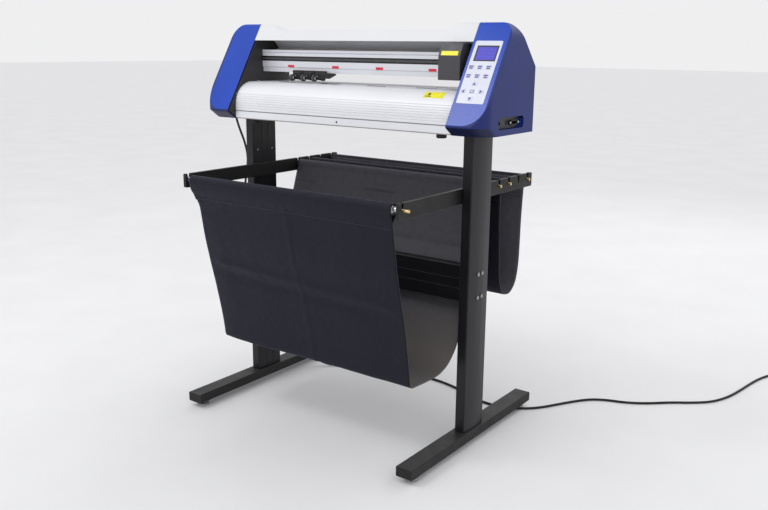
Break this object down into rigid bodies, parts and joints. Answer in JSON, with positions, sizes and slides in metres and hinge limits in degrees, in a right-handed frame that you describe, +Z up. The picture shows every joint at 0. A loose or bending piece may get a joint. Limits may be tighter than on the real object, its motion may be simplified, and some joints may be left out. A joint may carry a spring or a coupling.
{
  "type": "vinyl cutter",
  "caption": "Roll-fed vinyl cutter on a floor stand: blue end caps, ribbed white nose, belt-driven carriage, pinch rollers, keypad, two slung fabric media baskets and a mains lead.",
  "frame": {"origin": "on the floor, under the middle of the object's footprint without its lead", "axes": "+Z up, +X to the operator's right along the rail, -Y towards the operator"},
  "size_m": [1.6739, 1.4764, 1.1],
  "materials": {
    "black_steel": "satin powder coat",
    "black_extrusion": "satin black anodised extrusion",
    "foot_steel": "zinc plated",
    "bolt_steel": "zinc plated button heads",
    "rod_steel": "bright drawn",
    "pin_brass": "turned brass",
    "basket_cloth": "black woven nylon",
    "grey_sheet": "grey-brown painted sheet steel",
    "foot_rubber": "moulded rubber",
    "white_aluminium": "satin silver-white anodised extrusion",
    "blue_plastic": "royal blue, gloss front and satin side",
    "charcoal_plastic": "matt charcoal",
    "white_plastic": "satin white paint",
    "rail_aluminium": "satin anodised",
    "overlay_film": "printed polyester film",
    "screen": "violet-blue character display in a dark bezel",
    "port_plastic": "black moulding",
    "rocker_plastic": "black rocker",
    "board": "green laminate",
    "cage_steel": "plated cage",
    "motor_metal": "black motor",
    "bearing_steel": "ground steel",
    "grit_steel": "knurled steel",
    "belt_rubber": "toothed rubber belt",
    "pulley_aluminium": "turned",
    "carriage_aluminium": "milled bracket",
    "carriage_plastic": "dark grey moulding",
    "holder_brass": "turned brass tool",
    "cord_pvc": "black flexible sheath",
    "cord_moulding": "black moulding",
    "pinch_plastic": "black moulding",
    "pinch_steel": "black steel fork",
    "wheel_rubber": "dark grey rubber tyre",
    "key_film": "film dome with a plain printed symbol"
  },
  "bodies": {
    "stand": {"foot_bars": "black_steel", "basket_arms": "black_steel", "stand_posts": "black_extrusion", "crossbeam": "black_extrusion", "levelling_feet": "foot_steel", "frame_bolts": "bolt_steel", "basket_rods": "rod_steel", "rod_end_pins": "pin_brass", "front_basket": "basket_cloth", "rear_basket": "basket_cloth", "chassis": "grey_sheet", "body_feet": "foot_rubber", "front_panel": "white_aluminium", "platen": "white_aluminium", "left_end_cap": "blue_plastic", "right_end_cap": "blue_plastic", "side_panels": "charcoal_plastic", "top_cover": "white_plastic", "rear_cover": "grey_sheet", "rail_beam": "rail_aluminium", "control_overlay": "overlay_film", "lcd_module": "screen", "port_connectors": "port_plastic", "inlet_module": "port_plastic", "main_board": "board", "power_supply": "cage_steel", "stepper_motors": "motor_metal", "roller_bearings": "bearing_steel", "carriage_belt": "belt_rubber", "power_cord": "cord_pvc", "cord_coil": "cord_pvc", "cord_connector": "cord_moulding", "power_plug": "cord_moulding"},
    "carriage": {"carriage_frame": "carriage_aluminium", "carriage_cover": "carriage_plastic"},
    "blade_holder": {"blade_holder": "holder_brass"},
    "drive_pulley": {"drive_pulley": "pulley_aluminium"},
    "idler_pulley": {"idler_pulley": "pulley_aluminium"},
    "grit_roller": {"grit_roller": "grit_steel"},
    "power_rocker": {"power_rocker": "rocker_plastic"},
    "pinch_block_1": {"pinch_block_1": "pinch_plastic"},
    "pinch_arm_1": {"pinch_arm_1": "pinch_steel"},
    "pinch_wheel_1": {"pinch_wheel_1": "wheel_rubber"},
    "pinch_block_2": {"pinch_block_2": "pinch_plastic"},
    "pinch_arm_2": {"pinch_arm_2": "pinch_steel"},
    "pinch_wheel_2": {"pinch_wheel_2": "wheel_rubber"},
    "pinch_block_3": {"pinch_block_3": "pinch_plastic"},
    "pinch_arm_3": {"pinch_arm_3": "pinch_steel"},
    "pinch_wheel_3": {"pinch_wheel_3": "wheel_rubber"},
    "key_speed": {"key_speed": "key_film"},
    "key_force": {"key_force": "key_film"},
    "key_test": {"key_test": "key_film"},
    "key_pause": {"key_pause": "key_film"},
    "key_reset": {"key_reset": "key_film"},
    "key_menu": {"key_menu": "key_film"},
    "key_up": {"key_up": "key_film"},
    "key_left": {"key_left": "key_film"},
    "key_enter": {"key_enter": "key_film"},
    "key_right": {"key_right": "key_film"},
    "key_down": {"key_down": "key_film"}
  },
  "joints": [
    {"name": "carriage_slide", "type": "slide", "parent": "stand", "child": "carriage", "axis": [1, 0, 0], "range_m": [-0.62, 0]},
    {"name": "blade_slide", "type": "slide", "parent": "carriage", "child": "blade_holder", "axis": [0, 0, 1], "range_m": [-0.024, 0], "stiffness_N_per_m": 300, "springref_m": 0.01},
    {"name": "drive_pulley_spin", "type": "hinge", "parent": "stand", "child": "drive_pulley", "pos_m": [0.405, 0.0045, 1.0035], "axis": [0, 0, 1], "continuous": true},
    {"name": "idler_pulley_spin", "type": "hinge", "parent": "stand", "child": "idler_pulley", "pos_m": [-0.405, 0.0045, 1.0035], "axis": [0, 0, 1], "continuous": true},
    {"name": "roller_spin", "type": "hinge", "parent": "stand", "child": "grit_roller", "pos_m": [0, -0.023, 0.929], "axis": [1, 0, 0], "continuous": true},
    {"name": "rocker_tilt", "type": "hinge", "parent": "stand", "child": "power_rocker", "pos_m": [-0.4495, 0.039, 0.866], "axis": [0, 1, 0], "range_deg": [0, 10]},
    {"name": "pinch_slide_1", "type": "slide", "parent": "stand", "child": "pinch_block_1", "axis": [1, 0, 0], "range_m": [-0.12, 0]},
    {"name": "pinch_lift_1", "type": "hinge", "parent": "pinch_block_1", "child": "pinch_arm_1", "pos_m": [-0.2305, 0.014, 0.948], "axis": [1, 0, 0], "range_deg": [0, 5], "stiffness_Nm_per_rad": 0.6, "springref_deg": -11.46},
    {"name": "pinch_spin_1", "type": "hinge", "parent": "pinch_arm_1", "child": "pinch_wheel_1", "pos_m": [-0.2305, -0.023, 0.9519], "axis": [1, 0, 0], "continuous": true},
    {"name": "pinch_slide_2", "type": "slide", "parent": "stand", "child": "pinch_block_2", "axis": [1, 0, 0], "range_m": [0, 0.18]},
    {"name": "pinch_lift_2", "type": "hinge", "parent": "pinch_block_2", "child": "pinch_arm_2", "pos_m": [-0.1895, 0.014, 0.948], "axis": [1, 0, 0], "range_deg": [0, 5], "stiffness_Nm_per_rad": 0.6, "springref_deg": -11.46},
    {"name": "pinch_spin_2", "type": "hinge", "parent": "pinch_arm_2", "child": "pinch_wheel_2", "pos_m": [-0.1895, -0.023, 0.9519], "axis": [1, 0, 0], "continuous": true},
    {"name": "pinch_slide_3", "type": "slide", "parent": "stand", "child": "pinch_block_3", "axis": [1, 0, 0], "range_m": [0, 0.36]},
    {"name": "pinch_lift_3", "type": "hinge", "parent": "pinch_block_3", "child": "pinch_arm_3", "pos_m": [-0.1485, 0.014, 0.948], "axis": [1, 0, 0], "range_deg": [0, 5], "stiffness_Nm_per_rad": 0.6, "springref_deg": -11.46},
    {"name": "pinch_spin_3", "type": "hinge", "parent": "pinch_arm_3", "child": "pinch_wheel_3", "pos_m": [-0.1485, -0.023, 0.9519], "axis": [1, 0, 0], "continuous": true},
    {"name": "key_speed_press", "type": "slide", "parent": "stand", "child": "key_speed", "axis": [0, 0.8564, -0.5163], "range_m": [0, 0.0004], "stiffness_N_per_m": 2000, "springref_m": -0.0002},
    {"name": "key_force_press", "type": "slide", "parent": "stand", "child": "key_force", "axis": [0, 0.8564, -0.5163], "range_m": [0, 0.0004], "stiffness_N_per_m": 2000, "springref_m": -0.0002},
    {"name": "key_test_press", "type": "slide", "parent": "stand", "child": "key_test", "axis": [0, 0.8564, -0.5163], "range_m": [0, 0.0004], "stiffness_N_per_m": 2000, "springref_m": -0.0002},
    {"name": "key_pause_press", "type": "slide", "parent": "stand", "child": "key_pause", "axis": [0, 0.8564, -0.5163], "range_m": [0, 0.0004], "stiffness_N_per_m": 2000, "springref_m": -0.0002},
    {"name": "key_reset_press", "type": "slide", "parent": "stand", "child": "key_reset", "axis": [0, 0.8564, -0.5163], "range_m": [0, 0.0004], "stiffness_N_per_m": 2000, "springref_m": -0.0002},
    {"name": "key_menu_press", "type": "slide", "parent": "stand", "child": "key_menu", "axis": [0, 0.8564, -0.5163], "range_m": [0, 0.0004], "stiffness_N_per_m": 2000, "springref_m": -0.0002},
    {"name": "key_up_press", "type": "slide", "parent": "stand", "child": "key_up", "axis": [0, 0.8564, -0.5163], "range_m": [0, 0.0004], "stiffness_N_per_m": 2000, "springref_m": -0.0002},
    {"name": "key_left_press", "type": "slide", "parent": "stand", "child": "key_left", "axis": [0, 0.8564, -0.5163], "range_m": [0, 0.0004], "stiffness_N_per_m": 2000, "springref_m": -0.0002},
    {"name": "key_enter_press", "type": "slide", "parent": "stand", "child": "key_enter", "axis": [0, 0.8564, -0.5163], "range_m": [0, 0.0004], "stiffness_N_per_m": 2000, "springref_m": -0.0002},
    {"name": "key_right_press", "type": "slide", "parent": "stand", "child": "key_right", "axis": [0, 0.8564, -0.5163], "range_m": [0, 0.0004], "stiffness_N_per_m": 2000, "springref_m": -0.0002},
    {"name": "key_down_press", "type": "slide", "parent": "stand", "child": "key_down", "axis": [0, 0.8564, -0.5163], "range_m": [0, 0.0004], "stiffness_N_per_m": 2000, "springref_m": -0.0002}
  ],
  "couplings": [
    {"joint": "drive_pulley_spin", "follows": "carriage_slide", "rad_per_m": 166.67},
    {"joint": "idler_pulley_spin", "follows": "carriage_slide", "rad_per_m": 166.67},
    {"joint": "pinch_slide_2", "follows": "pinch_slide_3", "ratio": 0.5}
  ]
}
